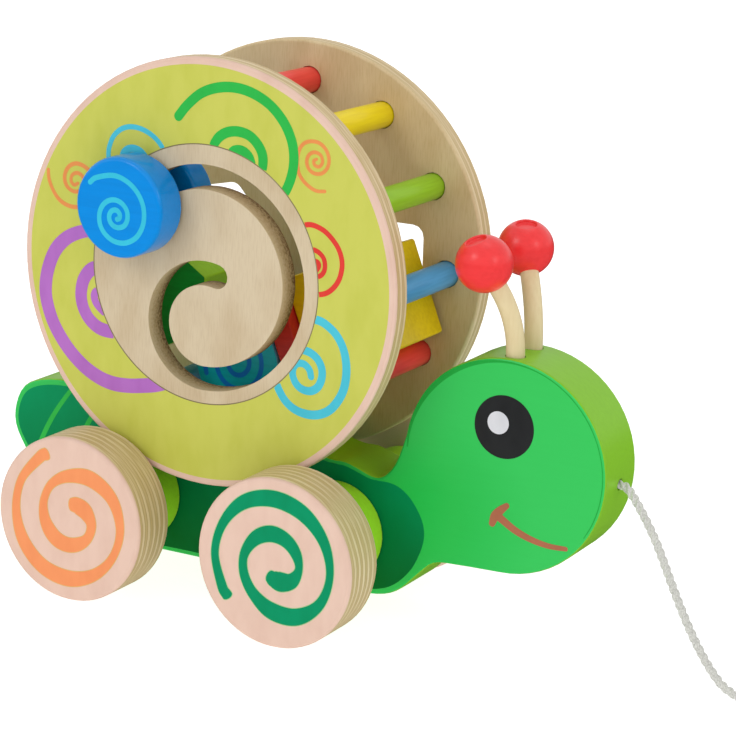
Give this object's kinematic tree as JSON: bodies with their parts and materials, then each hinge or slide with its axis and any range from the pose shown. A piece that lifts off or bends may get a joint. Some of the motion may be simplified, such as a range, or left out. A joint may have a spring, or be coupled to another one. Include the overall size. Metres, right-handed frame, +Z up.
{
  "type": "pull along toy",
  "caption": "Wooden pull-along snail: a shape-sorter shell drum with a dowel cage, spiral-slot slider and loose blocks on a wheeled body, with antennae and a pull cord.",
  "frame": {"origin": "on the floor under the middle of the toy without its cord", "axes": "+X towards the head, -Y towards the side with the spiral slot and knob, +Z up"},
  "size_m": [0.3224, 0.108, 0.182],
  "materials": {
    "green_lacquer": "gloss green lacquer",
    "printed_plywood": "printed and varnished plywood",
    "natural_plywood": "varnished natural plywood",
    "pink_plywood": "printed and varnished plywood",
    "lime_lacquer": "gloss lime lacquer",
    "blue_lacquer": "gloss blue lacquer",
    "sky_blue_lacquer": "satin sky-blue lacquer",
    "teal_lacquer": "satin teal lacquer",
    "red_lacquer": "gloss red lacquer",
    "yellow_lacquer": "satin yellow lacquer",
    "leaf_green_lacquer": "satin leaf-green lacquer",
    "bare_dowel": "bare turned beech",
    "cream_dowel": "varnished bent beech",
    "white_cord": "twisted off-white nylon",
    "red_tie": "woven red tape"
  },
  "bodies": {
    "snail_frame": {"body_slab": "green_lacquer", "front_shell_disc": "printed_plywood", "back_shell_disc": "natural_plywood", "cage_dowel_01_yellow": "yellow_lacquer", "cage_dowel_02_red": "red_lacquer", "cage_dowel_03_blue": "sky_blue_lacquer", "cage_dowel_04_green": "leaf_green_lacquer", "cage_dowel_05_yellow": "yellow_lacquer", "cage_dowel_06_red": "red_lacquer", "cage_dowel_07_blue": "sky_blue_lacquer", "cage_dowel_08_green": "leaf_green_lacquer", "cage_dowel_09_yellow": "yellow_lacquer", "cage_dowel_10_red": "red_lacquer", "cage_dowel_11_blue": "sky_blue_lacquer", "saddle_pin_front": "bare_dowel", "saddle_pin_rear": "bare_dowel", "axle_boss_front_right": "lime_lacquer", "axle_boss_front_left": "lime_lacquer", "axle_boss_rear_right": "lime_lacquer", "axle_boss_rear_left": "lime_lacquer", "antenna_stem_right": "cream_dowel", "antenna_stem_left": "cream_dowel", "antenna_bead_right": "red_lacquer", "antenna_bead_left": "red_lacquer", "pull_cord": "white_cord", "cord_coil": "white_cord", "coil_tie": "red_tie", "cord_end_knot": "white_cord"},
    "front_wheel_set": {"front_axle": "bare_dowel", "wheel_front_right": "pink_plywood", "wheel_front_left": "pink_plywood"},
    "rear_wheel_set": {"rear_axle": "bare_dowel", "wheel_rear_right": "pink_plywood", "wheel_rear_left": "pink_plywood"},
    "slider_carriage": {"slider_spindle": "bare_dowel"},
    "slider_knobs": {"slider_knob_outer": "blue_lacquer", "slider_knob_inner": "blue_lacquer"},
    "round_block": {"block_round": "teal_lacquer"},
    "hexagon_block": {"block_hexagon": "leaf_green_lacquer"},
    "brick_block": {"block_brick": "red_lacquer"},
    "cube_block": {"block_cube": "yellow_lacquer"}
  },
  "joints": [
    {"name": "front_wheel_roll", "type": "hinge", "parent": "snail_frame", "child": "front_wheel_set", "pos_m": [0.01888, 0, 0.028], "axis": [0, 1, 0], "continuous": true},
    {"name": "rear_wheel_roll", "type": "hinge", "parent": "snail_frame", "child": "rear_wheel_set", "pos_m": [-0.05962, 0, 0.028], "axis": [0, 1, 0], "continuous": true},
    {"name": "slider_travel", "type": "hinge", "parent": "snail_frame", "child": "slider_carriage", "pos_m": [-0.02062, 0, 0.111], "axis": [0, 1, 0], "range_deg": [0, 226]},
    {"name": "knob_spin", "type": "hinge", "parent": "slider_carriage", "child": "slider_knobs", "pos_m": [-0.04514, 0, 0.13308], "axis": [0, 1, 0], "continuous": true},
    {"name": "round_block_out", "type": "slide", "parent": "snail_frame", "child": "round_block", "axis": [0, 1, 0], "range_m": [0, 0.04]},
    {"name": "hexagon_block_play", "type": "slide", "parent": "snail_frame", "child": "hexagon_block", "axis": [0, 1, 0], "range_m": [-0.001, 0.008]},
    {"name": "brick_block_play", "type": "slide", "parent": "snail_frame", "child": "brick_block", "axis": [0, 1, 0], "range_m": [-0.001, 0.008]},
    {"name": "cube_block_play", "type": "slide", "parent": "snail_frame", "child": "cube_block", "axis": [0, 1, 0], "range_m": [-0.006, 0.001]}
  ]
}
